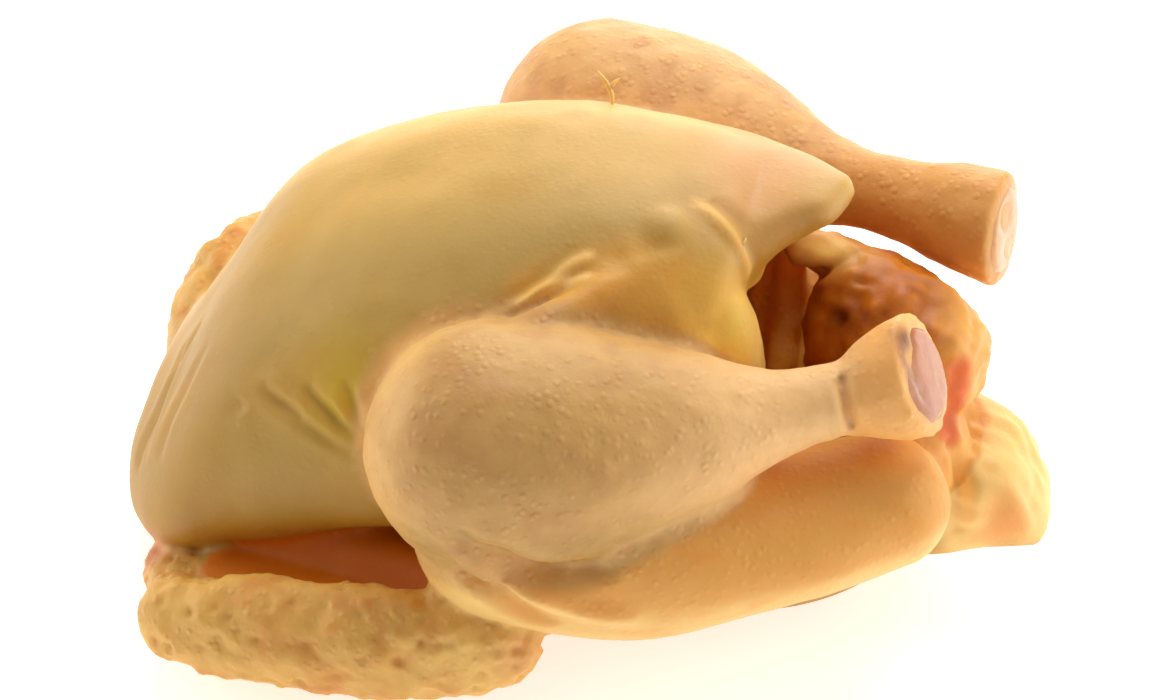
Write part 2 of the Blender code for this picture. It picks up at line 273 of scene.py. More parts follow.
# %% Trunk, tail and flanks
BREAST = (
    (-131, 1, 20, 17, 18, 1, 1),
    (-128, 30, 32, 9, 19, 1, 0.9),
    (-120, 48, 45, 6, 22, 1, 0.9),
    (-112, 57, 58.5, 6, 27, 1, 0.9),
    (-104, 61.5, 73.5, 7, 32, 1, 0.9),
    (-95, 64, 86, 10, 38, 1, 0.9),
    (-75, 67.5, 100, 21, 45, 1, 0.9),
    (-48, 68, 112, 33, 51, 1, 0.9),
    (-20, 64, 120, 34, 56, 1, 0.9),
    (4, 54, 122, 30, 66, 1, 0.8),
    (22, 42, 120, 66, 86, 1, 0.9),
    (32, 29, 117, 90, 101, 1, 1),
    (38, 1, 108, 102, 105, 1, 1),
)
BACK = (
    (-112, 1, 26, 24, 25, 1, 1),
    (-108, 26, 40, 8, 24, 1, 0.7),
    (-90, 48, 52, 2, 26, 1, 0.6),
    (-50, 56, 60, 0, 30, 1, 0.6),
    (0, 54, 62, 0, 32, 1, 0.6),
    (50, 46, 60, 4, 34, 1, 0.6),
    (76, 36, 58, 17, 38, 1, 0.8),
    (88, 24, 54, 26, 40, 1, 0.9),
    (92, 1, 42, 40, 41, 1, 1),
)
BREAST_TIP = Limb(
    start=(6, 0, 94),
    end=(51, 0, 115),
    sections=((0, 40, 28), (0.4, 32, 16), (0.7, 22, 8.5), (1, 10, 5)),
    bow=(0, 4, 0),
    caps=(1, 0.75),
    squareness=2.7,
)
TAIL = Limb(
    start=(80, 0, 34),
    end=(106, 0, 33),
    sections=((0, 26, 16), (0.5, 21.5, 14.5), (1, 16, 12.5)),
    caps=(1, 0.35),
    squareness=3.4,
    slant=(0, -0.5),
)
FLANK = Limb(
    start=(-24, -40, 72),
    end=(16, -24, 86),
    sections=((0, 23, 30), (0.5, 23, 30), (1, 20, 28)),
    caps=(1, 0.75),
)
FLANK_LIP = Limb(
    start=(14, -20, 112),
    end=(33, -33, 60),
    sections=((0, 8, 8), (0.5, 9.5, 9.5), (1, 10, 10)),
    bow=(5, 0, 6),
)
LEFT_FLANK_LIP = Limb(
    start=(14, 20, 106),
    end=(33, 33, 60),
    sections=FLANK_LIP.sections,
    bow=FLANK_LIP.bow,
)
RIGHT_FLANK_FOLD = Limb(
    start=(-18, -57, 97),
    end=(14, -29, 109.5),
    sections=((0, 7.5, 7.5), (0.4, 5.5, 5.5), (0.75, 4, 4), (1, 2, 2)),
    bow=(0, 1, 2),
)
TRUNK = (BREAST_TIP, TAIL, FLANK, mirrored(FLANK), FLANK_LIP, LEFT_FLANK_LIP, RIGHT_FLANK_FOLD)

# %% Body cavity and the fat behind the vent
CAVITY = Limb(
    start=(70, 0, 82),
    end=(-62, 0, 46),
    sections=((0, 22, 16), (0.2, 31, 24), (0.4, 38, 32), (0.65, 41, 35), (0.9, 35, 29), (1, 26, 21)),
    bow=(0, 0, -6),
)
VENT_FAT = Limb(
    start=(62, 11, 68),
    end=(78, 2, 65.5),
    sections=((0, 19, 22), (0.5, 20, 22), (1, 19, 20)),
    caps=(0.8, 0.75),
)
LEFT_VENT_FLAP = Limb(
    start=(44, 17, 87),
    end=(56, 17, 85),
    sections=((0, 6, 5), (0.5, 6, 5.5), (1, 5, 5)),
)
RIGHT_VENT_ROLL = Limb(
    start=(56, -34, 54),
    end=(80, -8, 48),
    sections=((0, 8, 8), (0.5, 11, 11), (1, 12, 12)),
    bow=(4, -4, 2),
)
VENT = (VENT_FAT, LEFT_VENT_FLAP, RIGHT_VENT_ROLL)
print("masses:", len(DRUMSTICKS + THIGHS + WINGS + WING_ROOTS + TRUNK + VENT) + 2)

# %% [markdown]
# ## From formula to mesh
# A grid of share and angle becomes a closed mesh when its first and last rings are single points. All the
# vertices are one array, and the faces are index arithmetic on it. The signed volume tells whether the faces
# look outwards.

# %% A closed grid
RINGS, SPOKES = 90, 96


def closed_grid(surface, rings=RINGS, spokes=SPOKES):
    """Vertices and triangles of surface(share, angle): rings between two poles, each quad cut in two."""
    turn = np.arange(spokes) * 2 * np.pi / spokes
    share, angle = np.meshgrid(np.linspace(0, 1, rings + 1), turn, indexing="ij")
    points = surface(share.ravel(), angle.ravel()).reshape(rings + 1, spokes, 3)
    verts = np.concatenate([points[0, :1], points[1:-1].reshape(-1, 3), points[-1, :1]])
    ring = 1 + np.arange((rings - 1) * spokes).reshape(rings - 1, spokes)
    turned = np.roll(ring, -1, axis=1)
    near, far = ring[:-1], ring[1:]
    near_turned, far_turned = turned[:-1], turned[1:]
    first, last = np.zeros(spokes, int), np.full(spokes, len(verts) - 1)
    faces = np.concatenate([
        np.stack([near, near_turned, far_turned], axis=-1).reshape(-1, 3),
        np.stack([near, far_turned, far], axis=-1).reshape(-1, 3),
        np.stack([first, turned[0], ring[0]], axis=-1),
        np.stack([last, ring[-1], turned[-1]], axis=-1),
    ])
    return verts, outward(verts, faces)


def outward(verts, faces):
    """Turns the faces round if the volume that they enclose comes out negative."""
    a, b, c = verts[faces[:, 0]], verts[faces[:, 1]], verts[faces[:, 2]]
    volume = np.einsum("ij,ij->i", a, np.cross(b, c)).sum() / 6
    return faces if volume > 0 else faces[:, ::-1]


def gathered(grids):
    """Several meshes' vertices and faces as one pair of arrays."""
    verts, faces, count = [], [], 0
    for some_verts, some_faces in grids:
        verts.append(some_verts)
        faces.append(some_faces + count)
        count += len(some_verts)
    return np.concatenate(verts), np.concatenate(faces)


def mesh_object(name, verts, faces):
    """A new object at the origin; the vertices are in units and become metres here."""
    mesh = bpy.data.meshes.new(name)
    mesh.from_pydata((verts * UNIT).tolist(), [], faces.tolist())
    mesh.update()
    obj = bpy.data.objects.new(name, mesh)
    bpy.context.scene.collection.objects.link(obj)
    return obj


def vertex_array(obj, kind="vertices", field="co"):
    """The mesh's points, or their normals, as an array."""
    found = getattr(obj.data, kind)
    values = np.empty(len(found) * 3)
    found.foreach_get(field, values)
    return values.reshape(-1, 3)


# %% [markdown]
# ## Fusing the masses
# Flesh has no seams, so the loose masses have to become one skin. A Boolean union would leave sharp lines
# between them; a voxel remesh melts them together, and a few rounds of smoothing round the creases as skin
# does. The body cavity is then carved out through the vent, and the fat behind the vent is melted on.

# %% Melt, carve and melt again
VOXEL = 1.1
CREASE_ROUNDING = 7


def apply_modifiers(obj):
    """Makes the evaluated shape the object's own mesh."""
    graph = bpy.context.evaluated_depsgraph_get()
    mesh = bpy.data.meshes.new_from_object(obj.evaluated_get(graph))
    obj.modifiers.clear()
    obj.data = mesh


def add_remesh(obj, voxel=VOXEL):
    remesh = obj.modifiers.new("Melt", "REMESH")
    remesh.mode = "VOXEL"
    remesh.voxel_size = voxel * UNIT


def fused_skin():
    """Remesh of all masses, minus the cavity, plus the vent's fat, remeshed and smoothed."""
    limbs = DRUMSTICKS + THIGHS + WINGS + WING_ROOTS + TRUNK
    grids = [closed_grid(limb_surface(limb)) for limb in limbs]
    grids += [closed_grid(trunk_surface(stations)) for stations in (BREAST, BACK)]
    skin = mesh_object("skin", *gathered(grids))
    add_remesh(skin)
    carver = mesh_object("carver", *closed_grid(limb_surface(CAVITY)))
    carve = skin.modifiers.new("Carve", "BOOLEAN")
    carve.operation = "DIFFERENCE"
    carve.solver = "MANIFOLD"
    carve.object = carver
    apply_modifiers(skin)
    bpy.data.objects.remove(carver)

    carved = vertex_array(skin) / UNIT
    faces = triangle_array(skin)
    fat = [closed_grid(limb_surface(limb)) for limb in VENT]
    bpy.data.objects.remove(skin)
    skin = mesh_object("skin", *gathered([(carved, faces), *fat]))
    add_remesh(skin)
    smooth = skin.modifiers.new("Round creases", "SMOOTH")
    smooth.factor = 0.5
    smooth.iterations = CREASE_ROUNDING
    apply_modifiers(skin)
    return skin


def triangle_array(obj):
    """The mesh's faces, cut into triangles, as rows of three vertex numbers."""
    obj.data.calc_loop_triangles()
    corners = np.empty(len(obj.data.loop_triangles) * 3, np.int32)
    obj.data.loop_triangles.foreach_get("vertices", corners)
    return corners.reshape(-1, 3)


skin = fused_skin()
print("skin:", len(skin.data.vertices), "points,", len(skin.data.polygons), "faces")

# %% [markdown]
# ## Where on the bird is this point?
# Creases, follicles and colours all depend on the body part. A point belongs to a limb when it lies near the
# limb's own surface: its distance from the bone, in half widths and half heights, is about one. Every other
# field below is a distance too: from a path drawn on the skin, or from a place.

# %% Belonging, paths and places
def smooth_step(low, high, value):
    """0 below low, 1 above high, and 3t^2 - 2t^3 between; low may be the larger."""
    t = np.clip((value - low) / (high - low), 0, 1)
    return t * t * (3 - 2 * t)


def on_limb(points, limb):
    """Share of the way along the bone, distance from it in half sizes, and the step from it to the point."""
    start, end = np.array(limb.start, float), np.array(limb.end, float)
    bone = end - start
    along = np.clip((points - start) @ bone / (bone @ bone), 0, 1)
    centre, tangent = limb_centre(limb, along)
    side, rise = limb_sides(tangent)
    half_width, half_height = limb_size(limb, along)
    offset = points - centre
    across = np.einsum("ij,ij->i", offset, side) / half_width
    up = np.einsum("ij,ij->i", offset, rise) / half_height
    ahead = np.einsum("ij,ij->i", offset, tangent) / half_height
    return along, np.sqrt(across**2 + up**2 + ahead**2), offset


def belonging(points, limbs, near=1.08, far=1.25):
    """1 on the nearest limb's surface, falling to 0 where the distance is far half sizes."""
    return np.maximum.reduce([smooth_step(far, near, on_limb(points, limb)[1]) for limb in limbs])


def smooth_path(places, count=40):
    """Points along a smooth line through a few places, spaced by the chord's length."""
    places = np.array(places, float)
    chord = np.append(0, np.cumsum(np.linalg.norm(np.diff(places, axis=0), axis=1)))
    wanted = np.linspace(0, chord[-1], count)
    return np.stack([smooth_curve(chord, column, wanted) for column in places.T], axis=1)


def from_path(points, path):
    """Distance of each point from a line of straight stretches, and its share of the way along it."""
    nearest, share = np.full(len(points), np.inf), np.zeros(len(points))
    for k, (start, end) in enumerate(zip(path[:-1], path[1:])):
        leg = end - start
        t = np.clip((points - start) @ leg / (leg @ leg), 0, 1)
        distance = np.linalg.norm(points - start - t[:, None] * leg, axis=1)
        closer = distance < nearest
        nearest = np.where(closer, distance, nearest)
        share = np.where(closer, (k + t) / (len(path) - 1), share)
    return nearest, share


def blob(points, place, radius):
    """exp(-(d / radius)^2) round a place."""
    offset = (points - np.array(place)) / np.array(radius)
    return np.exp(-(offset**2).sum(axis=1))


def body_parts(points, normals):
    """How much each point belongs to each kind of body part, from 0 to 1."""
    drumstick = belonging(points, DRUMSTICKS)
    fat = belonging(points, VENT, near=1.15, far=1.3)
    reach, offset = on_limb(points, CAVITY)[1:]
    facing = -np.einsum("ij,ij->i", offset, normals) / (np.linalg.norm(offset, axis=1) + 1e-6)
    return {
        "drumstick": drumstick,
        "thigh": belonging(points, THIGHS) * (1 - drumstick),
        "wing": belonging(points, WINGS),
        "recess": belonging(points, WING_ROOTS) * (1 - belonging(points, WINGS)),
        "tail": belonging(points, (TAIL,)) * smooth_step(84, 92, points[:, 0]),
        "fat": fat,
        "cavity": smooth_step(1.3, 1.1, reach) * smooth_step(0.1, 0.5, facing) * (1 - fat),
    }


# %% [markdown]
# Skin is never even. Two kinds of unevenness cover it: slow swells, which are smooth noise, and follicles,
# which sit about as far from each other as feathers did. For follicles, one point is dropped at random in each
# cell of a cubic lattice, and a skin point asks how far the nearest is.

# %% Noise and follicles
LATTICE = 32


def swell(points, size, seed):
    """Smooth noise from -1 to 1: random values on a lattice, blended by smooth steps between its corners."""
    table = np.random.default_rng(seed).uniform(-1, 1, (LATTICE,) * 3)
    cell = np.floor(points / size).astype(int)
    t = points / size - cell
    t = t * t * (3 - 2 * t)
    value = np.zeros(len(points))
    for corner in np.ndindex(2, 2, 2):
        weight = np.where(corner, t, 1 - t).prod(axis=1)
        value += weight * table[tuple(((cell + corner) % LATTICE).T)]
    return value


def follicles(points, spacing, seed):
    """Distance from the nearest follicle in spacings, and that follicle's own number from 0 to 1."""
    rng = np.random.default_rng(seed)
    spot = rng.uniform(0.1, 0.9, (LATTICE,) * 3 + (3,))
    number = rng.uniform(0, 1, (LATTICE,) * 3)
    cell = np.floor(points / spacing).astype(int)
    nearest, own = np.full(len(points), 9.0), np.zeros(len(points))
    for step in np.ndindex(3, 3, 3):
        there = cell + step - 1
        wrapped = tuple((there % LATTICE).T)
        distance = np.linalg.norm(points / spacing - there - spot[wrapped], axis=1)
        closer = distance < nearest
        nearest = np.where(closer, distance, nearest)
        own = np.where(closer, number[wrapped], own)
    return nearest, own


points = vertex_array(skin) / UNIT
normals = vertex_array(skin, "vertex_normals", "vector")
parts = body_parts(points, normals)
for name, amount in parts.items():
    print(name, "covers", int((amount > 0.5).sum()), "points")

# %% [markdown]
# ## Folds and creases
# Where a joint bends, the skin folds. Each fold is drawn as a line over the skin; the skin sinks along it by a
# bell curve and rises a little beside it, and the depth fades to nothing at both ends.

# %% Draw the folds
# the edge of the flank's skin at the vent, the strands of the fold that the right knee pulls up, and the cut
# round the right shank, which the tints below follow too
FLANK_EDGE = (
    (21.3, -14.1, 118.8), (25.8, -16.6, 117.2), (29.9, -19.4, 114.7), (32.6, -20.4, 111.2),
    (35, -19.8, 104.7), (37.5, -21.5, 98), (38.8, -26.5, 92), (39.4, -30.5, 87.3),
)
STRANDS = (
    ((-22.4, -47.4, 102.2), (-15.3, -43.3, 105.8), (-12, -41, 107.7), (-5.8, -35, 111.9), (-2.5, -32.9, 113.1)),
    ((-18.4, -46.3, 103.6), (-10.7, -41.4, 107.6), (-6.1, -39.7, 109.2), (-1.9, -38, 110.5)),
    ((0.2, -33.8, 112.3), (5.1, -33.2, 112.6), (12, -30.5, 113.3), (18.9, -27.5, 114.3)),
)
RING_CUT = ((62.4, -44.1, 95), (63.2, -47.2, 93.1), (64.4, -49, 90.4), (65.4, -49.6, 86.7), (66.1, -48.6, 82.9))

Crease = namedtuple("Crease", "path width depth")
CREASES = (
    # under the right knee, where drumstick and thigh fold together
    Crease(((-21.6, -98.5, 76.4), (-19.3, -98, 72.3), (-12.6, -96.4, 68.3), (-8.1, -92.8, 63.6),
            (-0.5, -89.1, 59.5), (8.1, -87.5, 59.3), (15.9, -84.9, 60.5)), 2.8, 2.8),
    Crease(((-25.5, -97.6, 73.3), (-22, -97.2, 69.6), (-17.4, -94.3, 62.5), (-8.5, -91.1, 55.3),
            (-0.3, -90.4, 51.2), (11.3, -88.6, 46.9), (21.3, -86.2, 45.4)), 2.8, -1.8),
    Crease(((-22.6, -95.3, 64.6), (-20.6, -91.5, 57.9), (-13.9, -91.7, 53.8), (-8.6, -91, 48.6),
            (-3.4, -89.7, 43.9), (0.8, -88.5, 41.6)), 2.6, 2.4),
    # the breast's skin, drawn towards the knee
    Crease(((-81.7, -53.7, 75.1), (-77.2, -56.9, 74.2), (-72.2, -59.2, 73.4), (-69.6, -60.3, 73)), 1.7, 1.6),
    Crease(((-69.8, -55.8, 79.7), (-66.6, -58.6, 77.3), (-62.4, -60.8, 75.3), (-58.5, -62.7, 73),
            (-54.6, -64.1, 70.6)), 1.7, 1.7),
    Crease(((-58.9, -56.6, 83.4), (-57.6, -59, 80.1), (-56.1, -61.3, 76.7), (-53.7, -63.5, 72.6)), 1.6, 1.4),
    Crease(((-71.2, -60.1, 72.3), (-65.8, -62.5, 70.6), (-61.1, -63.9, 69), (-55.7, -65.2, 67.4)), 1.6, 1),
    Crease(((-90.6, -51.8, 69.9), (-86.7, -55.3, 69.5), (-88.9, -55.3, 67.5)), 1.4, 0.9),
    # the neck end
    Crease(((-110, -11.7, 60.2), (-114.4, -21.8, 52.2), (-117, -32.8, 45.3), (-119, -43.5, 35.1)), 2, 1.3),
    Crease(((-100, -34.6, 70.9), (-105.3, -39.6, 60.8), (-110.1, -43.6, 50), (-112.3, -49, 41.7)), 2, 1),
    Crease(((-115.4, -9, 52.3), (-117.3, -24.9, 47.5), (-119.7, -33.8, 40.6), (-121.9, -41.3, 31)), 2, 1.3),
    # the fold that the right knee pulls up: two strands stand up, and the skin sinks under them
    Crease(STRANDS[0], 1.4, -1.2),
    Crease(STRANDS[1], 1.3, -1),
    Crease(((-14, -46, 104), (-6, -43, 106.5), (2, -41, 108)), 2.4, 1),
    # the edge of the flank's skin, which stands up over the breast tip
    Crease(FLANK_EDGE[:-1], 1.3, -0.8),
    Crease(((24, -11, 118.6), (29, -14, 117), (33.5, -16.5, 114)), 2, 0.8),
    # the root of the tail, and the cut round the right shank
    Crease(((87, -16.9, 57.2), (90.1, -17.2, 48.1), (91.6, -21.5, 41.9), (91.6, -22.2, 30.7)), 2.2, 2.4),
    Crease(RING_CUT, 1.2, 2.2),
    # the fold between the flap of fat and the fat behind the vent
    Crease(((46, 10, 83), (50, 12, 84.5), (54, 14, 86), (57, 15, 87)), 1.6, 2),
)


def sunk_by(points, crease):
    """How far a crease sinks the skin: depth times a bell curve, minus a third of it on either side."""
    distance, share = from_path(points, smooth_path(crease.path))
    fade = np.sqrt(np.clip(4 * share * (1 - share), 0, 1))
    bell = np.exp(-((distance / crease.width) ** 2))
    shoulder = np.exp(-((distance / crease.width - 2.2) ** 2))
    return crease.depth * fade * (bell - 0.3 * shoulder)


relief = -sum(sunk_by(points, crease) for crease in CREASES)
print("deepest fold, mm:", round(-relief.min() * UNIT * 1000, 2))

# %% [markdown]
# ## Swells, follicles and meat
# The legs and wings have goose bumps, the wings the coarsest of all, with the follicles of the flight feathers
# as larger pits. Fat behind the vent is lumpy, and bare flesh inside the body is ribbed. Only what is broad
# enough to show from a step away goes into the mesh; the pores are left to the material.

# %% Raise the bumps
FAT_PITS = ((60.5, 3.6, 88), (56, -3, 81), (73.4, 2.3, 86), (66, -4, 82))

coarse, coarse_number = follicles(points, 5.2, seed=3)
fine, fine_number = follicles(points, 3.6, seed=5)
bump = np.clip(1 - fine / 0.55, 0, 1) ** 1.5
pit = np.clip(1 - coarse / 0.5, 0, 1) ** 1.5

relief += parts["drumstick"] * (0.1 * bump * fine_number + 0.26 * swell(points, 3.2, seed=15))
relief += 0.15 * parts["thigh"] * bump * fine_number
relief += parts["wing"] * (1.0 * bump * fine_number - 1.6 * pit * (coarse_number > 0.4)
                           + 1.1 * swell(points, 6, seed=7) + 0.4 * swell(points, 3, seed=16))
relief += parts["fat"] * (0.9 * swell(points, 8, seed=8) + 0.8 * swell(points, 3.2, seed=9))
relief -= 1.4 * parts["fat"] * sum(blob(points, place, (2.4, 1.2, 1.4)) for place in FAT_PITS)
relief += parts["cavity"] * (0.9 * np.sin(points[:, 0] * 0.75) + 0.6 * swell(points, 5, seed=10))
relief += parts["tail"] * 0.7 * swell(points * (0.3, 1, 1), 3.5, seed=13)
relief += 0.5 * swell(points, 22, seed=11) + 0.25 * swell(points, 8, seed=12)
print("relief from", round(relief.min(), 2), "to", round(relief.max(), 2), "units")

# %% [markdown]
# ## Settling on the table
# The skin is moved to the solid's own place: the middles of the two boxes agree across, their tops agree, and
# what would sink into the table is pressed flat, as soft flesh is. Flat places need fewer faces than creased
# ones, so a decimation then thins them out to what one piece may hold.

# %% Place the skin and thin it out
SKIN_TRIANGLES = 190000

skin_points = points + normals * relief[:, None]
middle = (skin_points.min(axis=0) + skin_points.max(axis=0)) / 2
shift = (NODE_LOW + NODE_HIGH) / 2 / UNIT - middle
shift[2] = NODE_HIGH[2] / UNIT - skin_points[:, 2].max()
print("shift in units:", np.round(shift, 3))


def placed(places):
    """Points in the bird's own numbers, moved to where the solid lies."""
    return np.asarray(places, float) + shift


settled = placed(skin_points)
settled[:, 2] = np.maximum(settled[:, 2], NODE_LOW[2] / UNIT)
skin.data.vertices.foreach_set("co", (settled * UNIT).ravel())
skin.data.update()
thinner = skin.modifiers.new("Thin out", "DECIMATE")
thinner.ratio = min(1, SKIN_TRIANGLES / (2 * len(skin.data.polygons)))
apply_modifiers(skin)
skin.data.shade_smooth()
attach(skin, "root")
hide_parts(NODE)
print("skin now:", len(triangle_array(skin)), "triangles")

# %% [markdown]
# ## Tints
# Corn-fed skin is golden where fat lies under it and pink where only muscle does. Each body part gets its own
# tint, the parts blend into each other by how much a point belongs to them, and the result is stored on the
# mesh for the material to read. Some of the blends are painted light and shade rather than the skin's own
# colour, and each says so where it stands.

# %% Blend the tints
def linear(red, green, blue):
    """A colour as a screen shows it, 0 to 255, turned into amounts of light."""
    c = np.array((red, green, blue)) / 255
    return np.where(c <= 0.04045, c / 12.92, ((c + 0.055) / 1.055) ** 2.4)


points = vertex_array(skin) / UNIT - shift
normals = vertex_array(skin, "vertex_normals", "vector")
parts = body_parts(points, normals)
breast = (1 - parts["drumstick"]) * (1 - parts["thigh"]) * (1 - parts["wing"]) * (1 - parts["tail"])
breast *= (1 - parts["fat"]) * (1 - parts["cavity"])
tint = np.tile(linear(194, 156, 80), (len(points), 1))


def blend_in(amount, colour):
    """tint + amount (colour - tint) at every point."""
    global tint
    tint = tint + np.clip(amount, 0, 1)[:, None] * (colour - tint)


def along_path(path, width):
    """exp(-(d / width)^2) at the distance d from a path."""
    return np.exp(-((from_path(points, smooth_path(path))[0] / width) ** 2))


# %% [markdown]
# The breast is painted palest along its top and its far side, which face the light, and darker and greener
# towards the near side and the neck end, which is painted shade. Where skin is pulled tight, at the fold and
# at the vent, its edge is a thin bright line, a painted glow of the light that shines through the thin skin.

# %% Breast and flanks
PALE_TIP = ((34, 4, 119), (15, 26, 12))
FLANK_PATH = ((-8, -48, 106), (10, -38, 105), (26, -34, 98))

# painted light: paler over the top and towards the far side
blend_in(breast * smooth_step(-32, -6, points[:, 1]), linear(214, 170, 92))
# painted shade: darker where the skin turns from the light, on the near side
blend_in(breast * smooth_step(0.35, -0.3, normals[:, 2]), linear(184, 135, 34))
# painted shade: darker towards the neck end
blend_in(0.7 * breast * smooth_step(-70, -105, points[:, 0]), linear(184, 134, 34))
blend_in(breast * blob(points, (-58, -60, 82), (16, 16, 16)), linear(206, 168, 50))
# painted light: palest on the far side, towards the lamps behind the bird
blend_in(breast * smooth_step(8, 30, points[:, 1]), linear(240, 192, 110))
blend_in(0.9 * breast * blob(points, *PALE_TIP), linear(216, 154, 90))
# partly the flank's own deeper orange, partly painted shade in the hollow under the fold
flank_distance = from_path(points, smooth_path(FLANK_PATH))[0]
blend_in(breast * smooth_step(20, 8, flank_distance), linear(230, 162, 62))
# painted shade in the pocket under the fold
blend_in(0.7 * breast * blob(points, (3, -46, 103), (16, 6, 6)), linear(190, 128, 48))
# painted glow on the flank's lip
blend_in(breast * blob(points, (32, -34, 96), (12, 12, 14)), linear(255, 216, 100))
blend_in(0.4 * breast * smooth_step(0.1, 0.8, swell(points * (1, 1, 0.5), 14, seed=21)), linear(208, 154, 64))
blend_in(0.35 * breast * smooth_step(0.2, 0.8, swell(points, 9, seed=22)), linear(184, 146, 66))
# painted glow along the flank's edge and, below, along the strands of the fold
blend_in(0.8 * breast * along_path(FLANK_EDGE, 1.3), linear(255, 200, 104))
for strand, strength in zip(STRANDS, (0.9, 0.7, 0.4)):
    blend_in(strength * along_path(strand, 1.4), linear(255, 208, 122))
# paler pink at the far side of the neck end: partly its own colour, partly painted rim light
blend_in(breast * blob(points, (-130, 28, 34), (16, 22, 14)), linear(255, 212, 168))

# %% [markdown]
# The legs are pinker, because their skin is thin over muscle. The near drumstick is mottled and lighter towards
# the shank, and a ring of skin was cut through just above the hock. Its belly, where it faces down, is painted
# darker as shade, with painted orange shade in the crease against the thigh; the undersides of the thigh and
# the knee are painted lighter, as light thrown up from the table.

# %% Legs
right_side = smooth_step(5, -5, points[:, 1])
right_leg, left_leg = parts["drumstick"] * right_side, parts["drumstick"] * (1 - right_side)
mottle = smooth_step(-0.2, 0.7, swell(points, 10, seed=23) + 0.5 * swell(points, 4, seed=24))
freckle = smooth_step(-0.1, 0.6, swell(points, 5, seed=26))
streaks = smooth_step(0.1, 0.8, swell(points * (0.25, 1, 1), 3, seed=25))

blend_in(right_leg, linear(216, 168, 98))
blend_in(0.5 * right_leg * mottle, linear(198, 142, 80))
# painted shade: darker on the near drumstick's belly, where it faces down
blend_in(0.8 * right_leg * smooth_step(0.05, -0.45, normals[:, 2]), linear(178, 140, 72))
# painted shade: a warm orange in the crease between drumstick and thigh
blend_in(right_leg * smooth_step(-0.5, -0.8, normals[:, 2]), linear(236, 160, 76))
blend_in(right_leg * smooth_step(8, 50, points[:, 0]), linear(246, 198, 134))
blend_in(0.6 * right_leg * smooth_step(-28, -46, points[:, 0]), linear(246, 192, 110))
blend_in(right_leg * smooth_step(62, 69, points[:, 0]), linear(248, 186, 106))
blend_in(0.8 * along_path(RING_CUT, 0.8), linear(150, 80, 30))
blend_in(left_leg, linear(232, 178, 110))
blend_in(0.5 * left_leg * freckle, linear(206, 144, 86))
blend_in(0.8 * left_leg * smooth_step(30, 60, points[:, 0]), linear(228, 162, 80))
blend_in(0.8 * left_leg * smooth_step(92, 95, points[:, 0]), linear(250, 206, 160))
blend_in(parts["thigh"], linear(238, 172, 84))
# painted light: the thigh's underside lighter, as if lit from the table below
blend_in(0.8 * parts["thigh"] * smooth_step(0.1, -0.3, normals[:, 2]), linear(246, 204, 124))
blend_in(0.35 * parts["thigh"] * streaks, linear(240, 156, 62))
# painted light: a pale patch under the near knee, which faces away from the lamps
blend_in(0.7 * blob(points, (-20, -90, 47), (12, 8, 9)), linear(255, 212, 128))

# %% [markdown]
# The wings are blotched with orange, with a painted glow at the near elbow, and the hollow behind them is
# painted a deep orange as its shade. The tail is pale with an orange gland. Behind the vent lies grainy yellow
# fat with brown patches and a pit painted dark as shade, its flap lifted with painted light; past it lies bare
# flesh, tinted a pale orange far lighter than its own dark red, as painted light in the shadowed cavity.

# %% Wings, tail and vent
RED_PATH = ((87.4, -8.5, 73), (87.3, -9.4, 64.4), (86.5, -14.1, 58))
blotch = smooth_step(0, 0.8, swell(points, 6, seed=27) + 0.4 * swell(points, 3, seed=28))
grain = swell(points, 2.6, seed=29) + 0.7 * swell(points, 6, seed=31)

blend_in(parts["wing"], linear(232, 180, 90))
blend_in(0.6 * parts["wing"] * blotch, linear(222, 142, 64))
# painted glow at the near elbow
blend_in(0.9 * blob(points, (-18, -95, 30), (13, 9, 10)), linear(255, 208, 118))
blend_in(0.4 * blob(points, (-8, -92, 31), (6, 7, 6)), linear(240, 160, 112))
blend_in(0.7 * blob(points, (-115, -56, 16), (7, 8, 6)), linear(230, 140, 100))
# painted shade: the hollow behind the wings in a deep, saturated orange
blend_in(parts["recess"], linear(220, 121, 6))
blend_in(parts["tail"], linear(253, 208, 126))
blend_in(0.6 * parts["tail"] * blob(points, (103, -17, 33), (8, 5, 9)), linear(244, 134, 42))
blend_in(parts["fat"], linear(190, 106, 8))
blend_in(0.8 * parts["fat"] * smooth_step(0, 0.8, grain), linear(210, 124, 20))
blend_in(0.8 * parts["fat"] * smooth_step(-0.2, -0.9, grain), linear(160, 76, 8))
blend_in(parts["fat"] * smooth_step(76, 90, points[:, 0]), linear(244, 176, 84))
# painted shade in the deepest pit of the fat
blend_in(0.9 * parts["fat"] * blob(points, (56, -3, 81), (4, 4, 2.5)), linear(110, 44, 6))
blend_in(0.9 * smooth_step(6, 2, from_path(points, smooth_path(RED_PATH))[0]), linear(232, 104, 26))
# painted light: the cavity's dark red flesh tinted a pale orange against the shade it lies in
blend_in(parts["cavity"], linear(255, 178, 64))
blend_in(0.4 * parts["cavity"] * smooth_step(0, 0.6, swell(points, 4, seed=30)), linear(255, 196, 120))
# painted light on the flap of fat, which lies in the breast tip's shade
blend_in(blob(points, (48, 12.6, 90), (10, 6, 4)), linear(255, 214, 118))

# %% [markdown]
# The near hock is stained where its tendon was torn out: a brown pit, a greyish groove that runs down from it
# and a bruise at the groove's end. The stain crosses from the skin onto the bare cartilage, so it is a function
# of place that both pieces use.

# %% Stains on the near hock
GROOVE_PATH = (
    (75, -37.5, 103), (76.7, -41.5, 99.6), (79.2, -41.4, 95), (81.4, -41.5, 90.1), (83.2, -40.4, 86.1),
)


